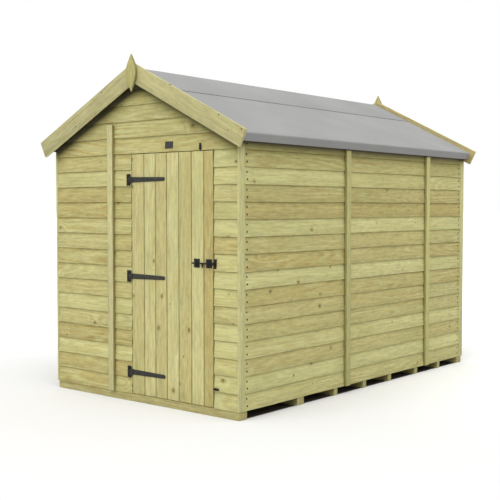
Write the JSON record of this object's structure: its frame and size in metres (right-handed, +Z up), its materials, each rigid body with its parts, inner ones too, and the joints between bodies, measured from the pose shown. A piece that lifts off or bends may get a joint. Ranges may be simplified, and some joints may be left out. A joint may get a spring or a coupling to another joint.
{
  "type": "wooden garden shed",
  "caption": "Apex garden shed clad in overlapping pressure-treated boards, with a felt roof, ledged and braced door on T-hinges, pad bolt, turn buttons and a bearer floor.",
  "frame": {"origin": "bottom centre of the bounding box, on the ground under the middle of the shed", "axes": "+Z up, the door gable faces -Y, +X to the right of someone facing the door, +Y along the ridge to the rear"},
  "size_m": [1.9924, 3.124, 2.3784],
  "materials": {
    "black_ironmongery": "black coated steel, satin",
    "roofing_felt": "grey mineral roofing felt, matt",
    "strand_board": "oriented strand board",
    "bearer_timber": "rough sawn pressure-treated softwood",
    "door_timber": "planed tongued-and-grooved pressure-treated softwood",
    "cladding_timber": "rough sawn pressure-treated overlap boards",
    "trim_timber": "planed pressure-treated softwood",
    "frame_timber": "planed pressure-treated softwood framing"
  },
  "bodies": {
    "shed": {"floor_bearers": "bearer_timber", "floor_deck": "strand_board", "side_wall_studs": "frame_timber", "side_wall_rails": "frame_timber", "front_cladding_left": "cladding_timber", "front_cladding_hinge_side": "cladding_timber", "front_cladding_latch_side": "cladding_timber", "front_cladding_over_door": "cladding_timber", "front_gable_top": "cladding_timber", "front_wall_studs": "frame_timber", "front_wall_rails": "frame_timber", "rear_cladding_left": "cladding_timber", "rear_cladding_right": "cladding_timber", "rear_gable_top": "cladding_timber", "rear_wall_studs": "frame_timber", "rear_wall_rails": "frame_timber", "gable_rafters": "frame_timber", "corner_strips": "trim_timber", "side_cover_battens": "trim_timber", "gable_cover_battens": "trim_timber", "right_roof_sheet": "strand_board", "left_roof_sheet": "strand_board", "right_roof_felt": "roofing_felt", "left_roof_felt": "roofing_felt", "ridge_felt": "roofing_felt", "eaves_battens": "frame_timber", "roof_purlins": "frame_timber", "right_bargeboards": "trim_timber", "left_bargeboards": "trim_timber", "gable_finials": "trim_timber", "hinge_plates": "black_ironmongery", "bolt_keeper": "black_ironmongery", "button_screws": "black_ironmongery", "right_cladding_front": "cladding_timber", "right_cladding_middle": "cladding_timber", "right_cladding_rear": "cladding_timber", "left_cladding_front": "cladding_timber", "left_cladding_middle": "cladding_timber", "left_cladding_rear": "cladding_timber"},
    "door": {"door_boards": "door_timber", "door_ledges": "frame_timber", "door_braces": "frame_timber", "hinge_straps": "black_ironmongery", "bolt_guides": "black_ironmongery"},
    "bolt": {"pad_bolt": "black_ironmongery"},
    "top_button": {"top_turn_button": "black_ironmongery"},
    "low_button": {"low_turn_button": "black_ironmongery"}
  },
  "joints": [
    {"name": "door_swing", "type": "hinge", "parent": "shed", "child": "door", "pos_m": [-0.0925, -1.4883, 0.873], "axis": [0, 0, -1], "range_deg": [0, 165]},
    {"name": "bolt_slide", "type": "slide", "parent": "door", "child": "bolt", "axis": [1, 0, 0], "range_m": [-0.016, 0.026]},
    {"name": "top_button_turn", "type": "hinge", "parent": "shed", "child": "top_button", "pos_m": [0.5685, -1.485, 1.7245], "axis": [0, 1, 0], "range_deg": [0, 180]},
    {"name": "low_button_turn", "type": "hinge", "parent": "shed", "child": "low_button", "pos_m": [0.6885, -1.485, 0.181], "axis": [0, 1, 0], "range_deg": [-180, 0]}
  ]
}
